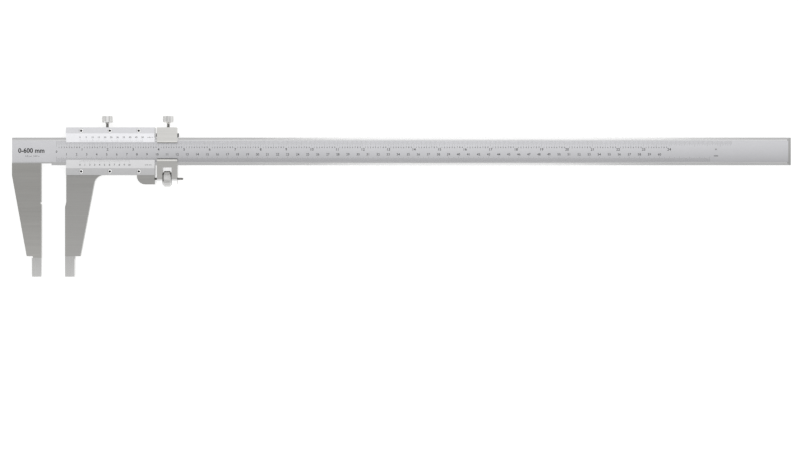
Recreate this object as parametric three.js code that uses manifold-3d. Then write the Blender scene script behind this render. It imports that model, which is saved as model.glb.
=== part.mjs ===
// A long vernier caliper, 0 to 600 mm and 0 to 24 in, with nib jaws and a fine-adjustment carriage.
// It lies on its back. +X runs along the beam, -Y is where the jaws point, +Z faces the reader.
// Each piece is a separate solid that could be laid out on a bench.

import * as THREE from "three";
import { mergeVertices } from "three/addons/utils/BufferGeometryUtils.js";
import Module from "manifold-3d";

const wasm = await Module();
wasm.setup();

// ---------------------------------------------------------------- driving dimensions, millimetres
// Datum: X = 0 on the fixed jaw's measuring face, Y = 0 on the beam's centre line,
// Z = 0 on the backs of the slider and the carriage.

const OPENING = 23.6; // between the measuring faces, as the caliper lies
const RUN = 0.1; // clearance between faces that slide on each other
const BACK_WALL = 3.0; // behind the beam, in the slider and in the carriage
const ROUND_SIDES = 32;
const HOLE_SIDES = 24;

const BEAM = {
  left: -29.25,
  right: 745.75,
  half: 13.75, // half of its width
  back: BACK_WALL + RUN,
  front: BACK_WALL + RUN + 6.0,
  rail: 3.3, // width of the ground rail along each edge
  strip: 2.0, // the outer part of each rail slopes away to the edge
  stripDrop: 0.35,
  recess: 0.15, // the scale face lies this far below the rails
  headEdge: -12.0, // lower edge at the head, where the fixed jaw is brazed on
  headEnd: 10.0,
};

const JAW = {
  back: 2.1,
  front: 10.1,
  tip: -124.7,
  shoulder: -104.3,
  neckLow: -106.0,
  neckWidth: 8.5,
  nibWidth: 10.0,
  nibRadius: 10.0,
  faceTop: -53.0, // above this the measuring face is relieved
  grooveTop: -50.5,
  grooveDepth: 1.0,
};

const FIXED_JAW = {
  kneeY: -23.8,
  shoulderX: -14.6,
  relief: 0.25,
  tongue: { left: -23.0, right: -5.0, top: -4.0, back: 4.6, front: 7.6, gap: 0.05 },
};

const SLIDER = {
  left: OPENING + 1.2,
  right: 112.9,
  top: 23.8,
  bottom: -23.6,
  front: BEAM.front + 0.2,
  gibRoom: 16.0, // underside of the top rail
};

const MOVING_JAW = {
  shoulderX: OPENING + 15.2,
  slope: 0.188, // how far the back of the jaw leans out for each millimetre up
  fillet: 9.5, // where the back of the jaw meets the slider's lower edge
  reliefLow: -55.3,
};

const LUG = { left: 95.4, right: 112.8, bottom: -32.8, corner: 8.0, back: 2.0, front: 13.0 };

const PLATE = {
  front: 13.3,
  edge: 0.6, // thickness left at the reading edge
  upper: { flat: 17.8, reading: 9.05 },
  lower: { flat: -16.7, reading: -8.3 },
};

const PLATE_SCREW = {
  x: [40.0, 68.5, 97.3],
  upperY: 20.5,
  lowerY: -20.0,
  head: 2.15,
  headTop: 13.5,
  headHeight: 1.4,
  shank: 1.0,
  tip: 4.8,
  recess: { span: 2.2, width: 0.7, depth: 0.9 }, // the cross in the head
};

const CARRIAGE = {
  left: 115.2,
  right: 135.4,
  top: 23.8,
  upperLip: 8.8,
  lowerLip: -8.0,
  bottom: -33.0,
  front: 13.5,
  round: 5.3, // lower corners, front and back
  bevel: 1.5,
  fork: { left: 120.7, right: 129.8, top: -15.9 },
};

const FEED = {
  y: -27.3,
  z: 8.0,
  radius: 1.25,
  left: 99.0,
  right: 141.1,
  nut: { left: 120.9, right: 129.6, radius: 7.8, chamfer: 0.7, bore: 1.33 },
};

const GIB = { low: BEAM.half + 0.35, thick: 1.0, back: 3.5, front: 8.8, tabTop: 18.0, tab: 1.1 };

const CLAMP = {
  z: 6.1,
  sliderX: 65.4,
  carriageX: 126.1,
  shank: 1.5,
  headLow: 28.8,
  headTop: 35.6,
  head: 5.75,
  neck: 2.6,
  neckLow: 27.9,
  chamfer: 0.6,
};

const GIB_SCREW = { x: [48.0, 86.0], radius: 1.2, top: 22.9, slot: 0.5 };
const LOCK_SCREW = { x: 104.0, radius: 1.2, low: -32.3, slot: 0.5 };
const THREAD_GAP = 0.07; // radial, in every tapped hole

// ---------------------------------------------------------------- solids

function solidOf(geometry) {
  geometry.deleteAttribute("normal");
  geometry.deleteAttribute("uv");
  const merged = mergeVertices(geometry, 1e-4);
  const vertProperties = new Float32Array(merged.attributes.position.array);
  const triVerts = new Uint32Array(merged.index.array);
  return new wasm.Manifold(new wasm.Mesh({ numProp: 3, vertProperties, triVerts }));
}

function meshOf(name, solid, material) {
  const { vertProperties, triVerts } = solid.getMesh();
  const geometry = new THREE.BufferGeometry();
  geometry.setAttribute("position", new THREE.BufferAttribute(vertProperties, 3));
  geometry.setIndex(new THREE.BufferAttribute(triVerts, 1));
  geometry.computeVertexNormals();
  const mesh = new THREE.Mesh(geometry, material);
  mesh.name = name;
  return mesh;
}

function block([x0, x1], [y0, y1], [z0, z1]) {
  const geometry = new THREE.BoxGeometry(x1 - x0, y1 - y0, z1 - z0);
  geometry.translate((x0 + x1) / 2, (y0 + y1) / 2, (z0 + z1) / 2);
  return solidOf(geometry);
}

const X_AXIS = new THREE.Vector3(1, 0, 0);
const Y_AXIS = new THREE.Vector3(0, 1, 0);
const Z_AXIS = new THREE.Vector3(0, 0, 1);

// An outline drawn in the plane across an axis, extruded between two places on that axis.
// Along x the outline's points are (y, z), along y they are (z, x), along z they are (x, y).
const EXTRUDE_TURN = {
  x: new THREE.Matrix4().makeBasis(Y_AXIS, Z_AXIS, X_AXIS),
  y: new THREE.Matrix4().makeBasis(Z_AXIS, X_AXIS, Y_AXIS),
  z: new THREE.Matrix4(),
};

function prism(axis, points, [from, to]) {
  const shape = new THREE.Shape(points.map(([u, v]) => new THREE.Vector2(u, v)));
  const geometry = new THREE.ExtrudeGeometry(shape, { depth: to - from, bevelEnabled: false });
  geometry.translate(0, 0, from);
  geometry.applyMatrix4(EXTRUDE_TURN[axis]);
  return solidOf(geometry);
}

// A turned piece: the profile's points are (radius, place along the axis), and the axis
// runs through centre, which gives the other two coordinates.
const TURNED_TURN = {
  x: new THREE.Matrix4().makeBasis(Y_AXIS, X_AXIS, Z_AXIS.clone().negate()),
  y: new THREE.Matrix4(),
  z: new THREE.Matrix4().makeBasis(X_AXIS, Z_AXIS, Y_AXIS.clone().negate()),
};

function turned(axis, centre, profile, sides = ROUND_SIDES) {
  const points = profile.map(([radius, along]) => new THREE.Vector2(radius, along));
  const geometry = new THREE.LatheGeometry(points, sides);
  geometry.applyMatrix4(TURNED_TURN[axis]);
  geometry.translate(centre[0], centre[1], centre[2]);
  return solidOf(geometry);
}

function rod(axis, centre, radius, [from, to], sides = ROUND_SIDES) {
  return turned(axis, centre, [[0, from], [radius, from], [radius, to], [0, to]], sides);
}

// A hole wide enough that the flats of its facets stay clear of a round of this radius.
function hole(axis, centre, radius, span, gap = THREAD_GAP) {
  const corner = (radius + gap) / Math.cos(Math.PI / HOLE_SIDES);
  return rod(axis, centre, corner, span, HOLE_SIDES);
}

function arc([cx, cy], radius, fromDeg, toDeg, steps) {
  return Array.from({ length: steps + 1 }, (_, i) => {
    const angle = THREE.MathUtils.degToRad(fromDeg + ((toDeg - fromDeg) * i) / steps);
    return [cx + radius * Math.cos(angle), cy + radius * Math.sin(angle)];
  });
}

const cutAll = (solid, cutters) => cutters.reduce((body, cutter) => body.subtract(cutter), solid);

// ---------------------------------------------------------------- beam and fixed jaw

function mainBeam() {
  const { half, back: low, front: high, strip, stripDrop } = BEAM;
  const face = half - BEAM.rail;
  const rightHalf = [
    [half - strip, low],
    [half, low + stripDrop],
    [half, high - stripDrop],
    [half - strip, high],
    [face, high],
    [face, high - BEAM.recess],
  ];
  const leftHalf = rightHalf.map(([y, z]) => [-y, z]).reverse();
  const { left, right, top, back, front, gap } = FIXED_JAW.tongue;
  return cutAll(prism("x", [...rightHalf, ...leftHalf], [BEAM.left, BEAM.right]), [
    block([BEAM.left - 1, BEAM.headEnd], [-BEAM.half - 1, BEAM.headEdge], [0, JAW.front]),
    block([left - gap, right + gap], [BEAM.headEdge - 1, top + gap], [back - gap, front + gap]),
  ]);
}

// The nib below the shoulder, with a flat measuring face and an outer face rounded for bores.
// outward is -1 for the fixed jaw and +1 for the moving jaw.
function nib(faceX, outward) {
  const middle = (JAW.back + JAW.front) / 2;
  const half = (JAW.front - JAW.back) / 2;
  const sweep = THREE.MathUtils.radToDeg(Math.asin(half / JAW.nibRadius));
  const axisX = faceX + outward * (JAW.nibWidth - JAW.nibRadius);
  const [from, to] = [outward * (90 - sweep), outward * (90 + sweep)];
  const rounded = arc([middle, axisX], JAW.nibRadius, from, to, 10);
  return prism("y", [[JAW.back, faceX], [JAW.front, faceX], ...rounded], [JAW.tip, JAW.neckLow]);
}

function neck(faceX, outward) {
  const across = [faceX, faceX + outward * JAW.neckWidth].sort((a, b) => a - b);
  return block(across, [JAW.neckLow, JAW.shoulder], [JAW.back, JAW.front]);
}

// The inner edge of a jaw from its shoulder up: measuring face, groove, then the relieved part.
function innerEdge(faceX, outward, relief, top) {
  return [
    [faceX, JAW.shoulder],
    [faceX, JAW.faceTop],
    [faceX + outward * JAW.grooveDepth, JAW.faceTop + JAW.grooveDepth],
    [faceX + outward * JAW.grooveDepth, JAW.grooveTop],
    [faceX + outward * relief, JAW.grooveTop],
    [faceX + outward * relief, top],
  ];
}

function fixedJaw() {
  const outline = [
    [BEAM.left, BEAM.headEdge],
    [BEAM.left, FIXED_JAW.kneeY],
    [FIXED_JAW.shoulderX, JAW.shoulder],
    ...innerEdge(0, -1, FIXED_JAW.relief, BEAM.headEdge),
  ];
  const { left, right, top, back, front } = FIXED_JAW.tongue;
  return prism("z", outline, [JAW.back, JAW.front])
    .add(block([left, right], [BEAM.headEdge, top], [back, front]))
    .add(neck(0, -1))
    .add(nib(0, -1));
}

// ---------------------------------------------------------------- slider

// The relieved edge sits on the slider's left side, and a short bevel leads down to the face.
function movingJawOutline(top) {
  const { shoulderX, slope, fillet, reliefLow } = MOVING_JAW;
  const lean = Math.atan(slope);
  const centreY = SLIDER.bottom - fillet;
  const backX = shoulderX + slope * (centreY - JAW.shoulder);
  const centreX = backX + fillet / Math.cos(lean);
  const leanDeg = THREE.MathUtils.radToDeg(lean);
  return [
    [OPENING, JAW.shoulder],
    [shoulderX, JAW.shoulder],
    ...arc([centreX, centreY], fillet, 180 - leanDeg, 90, 8),
    [centreX, top],
    [SLIDER.left, top],
    [SLIDER.left, JAW.grooveTop],
    [OPENING, reliefLow],
  ];
}

function lug() {
  const { left, right, bottom, corner, back, front } = LUG;
  const outline = [
    ...arc([left + corner, bottom + corner], corner, 180, 270, 8),
    [right, bottom],
    [right, SLIDER.bottom],
    [left, SLIDER.bottom],
  ];
  const root = block([left, right], [SLIDER.bottom - 1, SLIDER.bottom + 1], [back, SLIDER.front]);
  return prism("z", outline, [back, front]).add(root);
}

function sliderFrame() {
  const { left, right, top, bottom, front, gibRoom } = SLIDER;
  const channel = [
    [bottom, 0],
    [top, 0],
    [top, front],
    [gibRoom, front],
    [gibRoom, BACK_WALL],
    [-BEAM.half - RUN, BACK_WALL],
    [-BEAM.half - RUN, front],
    [bottom, front],
  ];
  const body = prism("x", channel, [left, right])
    .add(prism("z", movingJawOutline(bottom + 1), [JAW.back, front]))
    .add(prism("z", movingJawOutline(bottom), [JAW.back, JAW.front]))
    .add(neck(OPENING, 1))
    .add(nib(OPENING, 1))
    .add(lug());
  const plateHoles = PLATE_SCREW.x.flatMap((x) =>
    [PLATE_SCREW.upperY, PLATE_SCREW.lowerY].map((y) =>
      hole("z", [x, y, 0], PLATE_SCREW.shank, [PLATE_SCREW.tip - 0.3, front + 1]),
    ),
  );
  const clampHole = hole("y", [CLAMP.sliderX, 0, CLAMP.z], CLAMP.shank, [gibRoom - 1, top + 1]);
  const gibHoles = GIB_SCREW.x.map((x) =>
    hole("y", [x, 0, CLAMP.z], GIB_SCREW.radius, [gibRoom - 1, top + 1]),
  );
  const feedHole = hole("x", [0, FEED.y, FEED.z], FEED.radius, [FEED.left - 0.3, right + 1]);
  const lockHole = hole(
    "y",
    [LOCK_SCREW.x, 0, FEED.z],
    LOCK_SCREW.radius,
    [LUG.bottom - 1, FEED.y - FEED.radius],
  );
  return cutAll(body, [...plateHoles, clampHole, ...gibHoles, feedHole, lockHole]);
}

// A vernier plate: flat under its screws, then bevelled down to a thin reading edge.
function vernierPlate(outer, { flat, reading }, screwY) {
  const section = [
    [outer, SLIDER.front],
    [reading, SLIDER.front],
    [reading, SLIDER.front + PLATE.edge],
    [flat, PLATE.front],
    [outer, PLATE.front],
  ];
  const plate = prism("x", section, [SLIDER.left, SLIDER.right]);
  const seat = PLATE_SCREW.headTop - PLATE_SCREW.headHeight;
  const holes = PLATE_SCREW.x.flatMap((x) => [
    hole("z", [x, screwY, 0], PLATE_SCREW.shank, [SLIDER.front - 1, PLATE.front + 1], 0.2),
    hole("z", [x, screwY, 0], PLATE_SCREW.head, [seat - 0.02, PLATE.front + 1], 0.15),
  ]);
  return cutAll(plate, holes);
}

// A pan-head screw with a cross recess.
function plateScrew(x, y, turnDeg) {
  const { head, headTop, headHeight, shank, tip, recess } = PLATE_SCREW;
  const profile = [
    [0, tip],
    [shank, tip],
    [shank, headTop - headHeight],
    [head, headTop - headHeight],
    [head, headTop - 0.4],
    [head - 0.5, headTop],
    [0, headTop],
  ];
  const [reach, half] = [recess.span / 2, recess.width / 2];
  const bar = (across, up) => block([-across, across], [-up, up], [headTop - recess.depth, headTop + 1]);
  const cross = bar(reach, half).add(bar(half, reach)).rotate([0, 0, turnDeg]).translate([x, y, 0]);
  return turned("z", [x, y, 0], profile, HOLE_SIDES).subtract(cross);
}

// ---------------------------------------------------------------- gibs and their screws

function sliderGib() {
  return block(
    [SLIDER.left + 0.6, SLIDER.right - 0.6],
    [GIB.low, GIB.low + GIB.thick],
    [GIB.back, GIB.front],
  );
}

// The carriage's gib is kept in place by a tab turned up at each end.
function carriageGib() {
  const { left, right } = CARRIAGE;
  const strip = block(
    [left - 0.1 - GIB.tab, right + 0.1 + GIB.tab],
    [GIB.low, GIB.low + GIB.thick],
    [GIB.back, GIB.front],
  );
  const tab = (from) => block([from, from + GIB.tab], [GIB.low, GIB.tabTop], [GIB.back, GIB.front]);
  return strip.add(tab(left - 0.1 - GIB.tab)).add(tab(right + 0.1));
}

// A knurled thumbscrew whose tip stops just short of the gib that it presses.
function clampScrew(x) {
  const { z, shank, headLow, headTop, head, neck: collar, neckLow, chamfer } = CLAMP;
  const tip = GIB.low + GIB.thick + 0.05;
  return turned("y", [x, 0, z], [
    [0, tip],
    [shank - 0.4, tip],
    [shank, tip + 0.4],
    [shank, neckLow],
    [collar, headLow],
    [head - chamfer, headLow],
    [head, headLow + chamfer],
    [head, headTop - chamfer],
    [head - chamfer, headTop],
    [0, headTop],
  ]);
}

// A headless slotted set screw. The slot is at the outer end.
function setScrew(x, z, radius, [tip, outer], slotWidth) {
  const half = slotWidth / 2;
  const depth = Math.sign(outer - tip) * 0.8;
  const span = [outer - depth, outer + depth].sort((a, b) => a - b);
  const slot = block([x - radius - 1, x + radius + 1], span, [z - half, z + half]);
  return rod("y", [x, 0, z], radius, [Math.min(tip, outer), Math.max(tip, outer)], HOLE_SIDES).subtract(slot);
}

// ---------------------------------------------------------------- fine adjustment

function fineAdjustCarriage() {
  const { left, right, top, upperLip, lowerLip, bottom, front, round, bevel, fork } = CARRIAGE;
  const section = [
    [top, 0],
    [top, front],
    [upperLip + bevel, front],
    [upperLip, front - bevel],
    [upperLip, SLIDER.front],
    [SLIDER.gibRoom, SLIDER.front],
    [SLIDER.gibRoom, BACK_WALL],
    [-BEAM.half - RUN, BACK_WALL],
    [-BEAM.half - RUN, SLIDER.front],
    [lowerLip, SLIDER.front],
    [lowerLip, front - bevel],
    [lowerLip - bevel, front],
    ...arc([bottom + round, front - round], round, 90, 180, 7),
    ...arc([bottom + round, round], round, 180, 270, 7),
  ];
  return cutAll(prism("x", section, [left, right]), [
    block([fork.left, fork.right], [bottom - 1, fork.top], [-1, front + 1]),
    hole("x", [0, FEED.y, FEED.z], FEED.radius, [left - 1, right + 1], 0.3),
    hole("y", [CLAMP.carriageX, 0, CLAMP.z], CLAMP.shank, [SLIDER.gibRoom - 1, top + 1]),
  ]);
}

function feedScrew() {
  return turned("x", [0, FEED.y, FEED.z], [
    [0, FEED.left],
    [FEED.radius, FEED.left],
    [FEED.radius, FEED.right - 0.4],
    [FEED.radius - 0.4, FEED.right],
    [0, FEED.right],
  ], HOLE_SIDES);
}

function feedNut() {
  const { left, right, radius, chamfer, bore } = FEED.nut;
  const blank = turned("x", [0, FEED.y, FEED.z], [
    [0, left],
    [radius - chamfer, left],
    [radius, left + chamfer],
    [radius, right - chamfer],
    [radius - chamfer, right],
    [0, right],
  ]);
  const threaded = rod("x", [0, FEED.y, FEED.z], bore, [left - 1, right + 1], HOLE_SIDES);
  return blank.subtract(threaded);
}

// ---------------------------------------------------------------- materials and assembly

const steel = (color, roughness) => new THREE.MeshStandardMaterial({ color, roughness, metalness: 1 });
const SATIN_CHROME = steel(0xc6c8ca, 0.42);
const VERNIER_CHROME = steel(0xd2d4d6, 0.38);
const GROUND_STEEL = steel(0x9c9b98, 0.35);
const SLIDER_STEEL = steel(0x96958f, 0.38);
const CARRIAGE_STEEL = steel(0xc0bfbd, 0.4);
const SCREW_STEEL = steel(0xa9a8a4, 0.35);
const BRIGHT_KNURL = steel(0xd8d8d6, 0.28);
const THREAD_STEEL = steel(0x6c6b68, 0.45);
const SPRING_STEEL = steel(0x55534f, 0.5);

const caliper = new THREE.Group();
const add = (name, solid, material) => caliper.add(meshOf(name, solid, material));

add("main_beam", mainBeam(), SATIN_CHROME);
add("fixed_jaw", fixedJaw(), GROUND_STEEL);
add("slider_frame", sliderFrame(), SLIDER_STEEL);
add("upper_vernier_plate", vernierPlate(SLIDER.top, PLATE.upper, PLATE_SCREW.upperY), VERNIER_CHROME);
add("lower_vernier_plate", vernierPlate(SLIDER.bottom, PLATE.lower, PLATE_SCREW.lowerY), VERNIER_CHROME);
PLATE_SCREW.x.forEach((x, i) => {
  const turnDeg = 25 * (i + 1); // each screw came to rest at its own angle
  add(`upper_plate_screw_${i + 1}`, plateScrew(x, PLATE_SCREW.upperY, turnDeg), SCREW_STEEL);
  add(`lower_plate_screw_${i + 1}`, plateScrew(x, PLATE_SCREW.lowerY, -turnDeg), SCREW_STEEL);
});
add("slider_gib", sliderGib(), SPRING_STEEL);
add("slider_clamp_screw", clampScrew(CLAMP.sliderX), BRIGHT_KNURL);
GIB_SCREW.x.forEach((x, i) => {
  const span = [GIB.low + GIB.thick + 0.5, GIB_SCREW.top];
  const screw = setScrew(x, CLAMP.z, GIB_SCREW.radius, span, GIB_SCREW.slot);
  add(`gib_set_screw_${i + 1}`, screw, SCREW_STEEL);
});
add("feed_screw", feedScrew(), THREAD_STEEL);
const lockSpan = [FEED.y - FEED.radius - 0.05, LOCK_SCREW.low];
add("feed_screw_lock", setScrew(LOCK_SCREW.x, FEED.z, LOCK_SCREW.radius, lockSpan, LOCK_SCREW.slot), SCREW_STEEL);
add("fine_adjust_carriage", fineAdjustCarriage(), CARRIAGE_STEEL);
add("carriage_gib", carriageGib(), SPRING_STEEL);
add("carriage_clamp_screw", clampScrew(CLAMP.carriageX), BRIGHT_KNURL);
add("feed_nut", feedNut(), BRIGHT_KNURL);

// The finished part stands on the middle of its bounding box's underside.
const extent = new THREE.Box3().setFromObject(caliper);
const middle = extent.getCenter(new THREE.Vector3());
caliper.position.set(-middle.x, -middle.y, -extent.min.z);

export default caliper;
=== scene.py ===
"""A long vernier caliper with nib jaws and a fine-adjustment carriage, lying on its back.

Everything is modelled in millimetres from a datum: X = 0 on the fixed jaw's measuring face,
Y = 0 on the beam's centre line, Z = 0 on the surface that the caliper lies on. The last step
of each piece turns that into metres in the frame.
"""

import math

import bpy
import numpy as np
from mathutils import Matrix, Vector


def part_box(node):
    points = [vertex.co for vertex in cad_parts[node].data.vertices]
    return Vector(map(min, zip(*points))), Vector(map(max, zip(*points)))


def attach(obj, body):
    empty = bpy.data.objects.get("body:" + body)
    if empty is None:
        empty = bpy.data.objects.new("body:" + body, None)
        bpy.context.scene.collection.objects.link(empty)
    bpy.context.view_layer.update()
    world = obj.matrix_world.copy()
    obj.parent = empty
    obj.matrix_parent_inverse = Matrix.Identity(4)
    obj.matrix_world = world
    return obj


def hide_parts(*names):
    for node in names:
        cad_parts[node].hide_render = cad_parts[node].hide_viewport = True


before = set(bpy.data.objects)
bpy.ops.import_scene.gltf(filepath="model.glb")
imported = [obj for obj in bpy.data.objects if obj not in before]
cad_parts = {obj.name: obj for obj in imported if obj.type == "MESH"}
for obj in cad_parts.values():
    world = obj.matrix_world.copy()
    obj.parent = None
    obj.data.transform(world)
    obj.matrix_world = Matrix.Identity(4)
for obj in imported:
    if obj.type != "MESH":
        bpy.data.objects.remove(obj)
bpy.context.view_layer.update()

MM = 0.001

_beam_low, _beam_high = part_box("main_beam")
DATUM = Vector((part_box("fixed_jaw")[1].x, (_beam_low.y + _beam_high.y) / 2, 0.0))


def extent(node):
    """A CAD node's lowest and highest corners, in millimetres from the datum."""
    low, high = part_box(node)
    return (low - DATUM) / MM, (high - DATUM) / MM


# ------------------------------------------------------------------ driving sizes, millimetres

BEAM_LOW, BEAM_HIGH = extent("main_beam")
JAW_LOW, JAW_HIGH = extent("fixed_jaw")
UPPER_LOW, UPPER_HIGH = extent("upper_vernier_plate")
LOWER_LOW, LOWER_HIGH = extent("lower_vernier_plate")
CARRIAGE_LOW, CARRIAGE_HIGH = extent("fine_adjust_carriage")
NUT_LOW, NUT_HIGH = extent("feed_nut")
FEED_LOW, FEED_HIGH = extent("feed_screw")

OPENING = extent("slider_frame")[0].x  # between the measuring faces, at rest
BEAM_HALF = BEAM_HIGH.y
RAIL = 3.3  # the width of the ground rail along each edge
STRIP = 2.0  # the outer part of each rail, which slopes away to the beam's edge
STRIP_DROP = 0.35
RECESS = 0.15  # the scale face lies this far below the rails
FACE_Z = BEAM_HIGH.z - RECESS
FACE_HALF = BEAM_HALF - RAIL
HEAD_EDGE = -12.0  # the seam between the beam's head and the fixed jaw
HEAD_END = 10.0
END_CHAMFER = 3.6  # along the beam, at its right end
END_DROP = 0.55  # how far that chamfer falls

JAW_TIP = JAW_LOW.y
SHOULDER = -104.3
NECK_LOW = -106.0
NECK_WIDTH = 8.5
NIB_WIDTH = 10.0  # and the radius of its outer face
FACE_TOP = -53.0  # above this the measuring face is relieved
GROOVE_TOP = -50.5
GROOVE_DEPTH = 1.0
FIXED_KNEE = -23.8
FIXED_SHOULDER_X = -14.6
FIXED_RELIEF = 0.25
MOVING_SHOULDER_X = OPENING + 15.2
MOVING_SLOPE = 0.188  # how far the jaw's back leans out for each millimetre up
MOVING_FILLET = 9.5
MOVING_RELIEF_LOW = -55.3

SLIDER_X = (UPPER_LOW.x, UPPER_HIGH.x)
SLIDER_TOP = UPPER_HIGH.y
SLIDER_BOTTOM = LOWER_LOW.y
SLIDER_FRONT = UPPER_LOW.z
BACK_WALL = 3.0
GIB_ROOM = 16.0  # the underside of the top rail
RUN = 0.1  # clearance between faces that slide on each other

LUG_X = (95.4, 112.8)
LUG_Z = (2.0, 13.0)
LUG_LOW = -32.8
LUG_CORNER = 8.0

PLATE_FRONT = UPPER_HIGH.z
PLATE_EDGE = 0.6  # thickness left at the reading edge
UPPER_FLAT = 17.8
LOWER_FLAT = -16.7
UPPER_READING = UPPER_LOW.y
LOWER_READING = LOWER_HIGH.y

CHEEK_ROUND = 5.3  # the carriage's lower corners
UPPER_LIP = 8.8
LOWER_LIP = -8.0
LIP_BEVEL = 1.5
LIP_DROP = 0.8
LIP_STEP = 0.25  # the height of the step at each lip's foot, where the lip is painted dark as shadow
UPPER_STEP = 0.5  # and its width
LOWER_STEP = 0.9
FORK_X = (120.7, 129.8)
FORK_TOP = -15.9

# radii of screws and of the holes that take them
HEAD_RADIUS = 2.15
HEAD_BORE = 2.28
SHANK_RADIUS = 1.0
SHANK_BORE = 1.2
CLAMP_RADIUS = 1.5
SET_RADIUS = 1.2
FEED_RADIUS = 1.25
NUT_BORE = 1.33
CARRIAGE_BORE = 1.6  # the feed screw passes through it freely
DIMPLE_RADIUS = 1.6
THREAD_GAP = 0.07  # in every tapped hole

CLAMP_PITCH = 0.5
SET_PITCH = 0.4
FEED_PITCH = 0.45
HEAD_TALL = 1.4
KNOB_TALL = 6.8


# ------------------------------------------------------------------ mesh building

PLANES = {  # for an outline's u and v and its extrusion w: the axes that they run along
    "x": (1, 2, 0),
    "y": (2, 0, 1),
    "z": (0, 1, 2),
}


def placed(axis, u, v, w):
    """A point from its two outline coordinates and its place along the axis."""
    point = [0.0, 0.0, 0.0]
    for value, index in zip((u, v, w), PLANES[axis]):
        point[index] = value
    return tuple(point)


def new_object(name, verts, faces):
    mesh = bpy.data.meshes.new(name)
    mesh.from_pydata([tuple(v) for v in verts], [], faces)
    mesh.validate()
    obj = bpy.data.objects.new(name, mesh)
    bpy.context.scene.collection.objects.link(obj)
    return obj


def prism(axis, outline, low, high):
    """An outline, given counter-clockwise, extruded from low to high along an axis."""
    count = len(outline)
    area = sum(a[0] * b[1] - b[0] * a[1] for a, b in zip(outline, outline[1:] + outline[:1]))
    if area < 0:
        outline = outline[::-1]
    verts = [placed(axis, u, v, w) for w in (low, high) for u, v in outline]
    sides = [(i, (i + 1) % count, count + (i + 1) % count, count + i) for i in range(count)]
    ends = [tuple(range(count))[::-1], tuple(range(count, 2 * count))]
    return new_object("prism", verts, sides + ends)


def block(x, y, z):
    return prism("z", [(x[0], y[0]), (x[1], y[0]), (x[1], y[1]), (x[0], y[1])], z[0], z[1])


def revolve(axis, centre, rings, sides, shape=None, closed=False):
    """A turned piece. Each ring is (radius, place along the axis, how much of shape it takes).

    shape(angle, along) is taken off the radius, for a knurl or a thread. A closed profile
    runs round a bore instead of ending in caps.
    """
    verts = []
    for radius, along, share in rings:
        for i in range(sides):
            angle = 2 * math.pi * i / sides
            r = radius - (share * shape(angle, along) if shape and share else 0.0)
            u, v = r * math.cos(angle), r * math.sin(angle)
            verts.append(placed(axis, u + centre[0], v + centre[1], along))
    count = len(rings)
    spans = range(count if closed else count - 1)
    faces = [
        (
            k * sides + i,
            k * sides + (i + 1) % sides,
            ((k + 1) % count) * sides + (i + 1) % sides,
            ((k + 1) % count) * sides + i,
        )
        for k in spans
        for i in range(sides)
    ]
    if not closed:
        faces.append(tuple(range(sides))[::-1])
        faces.append(tuple(range((count - 1) * sides, count * sides)))
    return new_object("turned", verts, faces)


def hole(axis, centre, radius, low, high):
    """A plain rod, to be cut away."""
    return revolve(axis, centre, [(radius, low, 0), (radius, high, 0)], 48)


def arc(centre, radius, start, end, steps):
    """Points round a centre between two angles, in degrees."""
    angles = [math.radians(start + (end - start) * i / steps) for i in range(steps + 1)]
    return [(centre[0] + radius * math.cos(a), centre[1] + radius * math.sin(a)) for a in angles]


def bake(obj):
    """Applies every modifier."""
    graph = bpy.context.evaluated_depsgraph_get()
    mesh = bpy.data.meshes.new_from_object(obj.evaluated_get(graph))
    obj.modifiers.clear()
    obj.data = mesh
    return obj


def combine(obj, others, operation):
    for other in others:
        modifier = obj.modifiers.new(operation, "BOOLEAN")
        modifier.operation = operation
        modifier.solver = "EXACT"
        modifier.object = other
    bake(obj)
    for other in others:
        bpy.data.objects.remove(other)
    return obj


def cut(obj, *others):
    return combine(obj, others, "DIFFERENCE")


def join(obj, *others):
    return combine(obj, others, "UNION")


def bevel(obj, width, angle=32):
    """Rounds every edge that turns by more than an angle in degrees."""
    modifier = obj.modifiers.new("bevel", "BEVEL")
    modifier.width = width
    modifier.segments = 2
    modifier.limit_method = "ANGLE"
    modifier.angle_limit = math.radians(angle)
    modifier.use_clamp_overlap = True
    modifier.miter_outer = "MITER_ARC"
    return bake(obj)


def shade(obj, angle=40):
    """Smooth across gentle edges, with large faces kept flat."""
    obj.data.shade_smooth()
    obj.data.set_sharp_from_angle(angle=math.radians(angle))
    modifier = obj.modifiers.new("normals", "WEIGHTED_NORMAL")
    modifier.keep_sharp = True
    modifier.weight = 80
    return bake(obj)


def paint(obj, materials, choose):
    """Gives each face the material whose place in the list choose(face) returns."""
    for material in materials:
        obj.data.materials.append(material)
    for face in obj.data.polygons:
        face.material_index = choose(face)


def install(obj, name, body, material=None, replaces=()):
    """Names a piece, takes it from millimetres into the frame and fixes it to its body.

    A painted piece has its materials already, and needs none here.
    """
    obj.data.transform(Matrix.Translation(DATUM) @ Matrix.Scale(MM, 4))
    obj.name = name
    obj.data.name = name
    if material:
        obj.data.materials.append(material)
    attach(obj, body)
    if replaces:
        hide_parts(*replaces)
    return obj


# ------------------------------------------------------------------ materials


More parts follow.
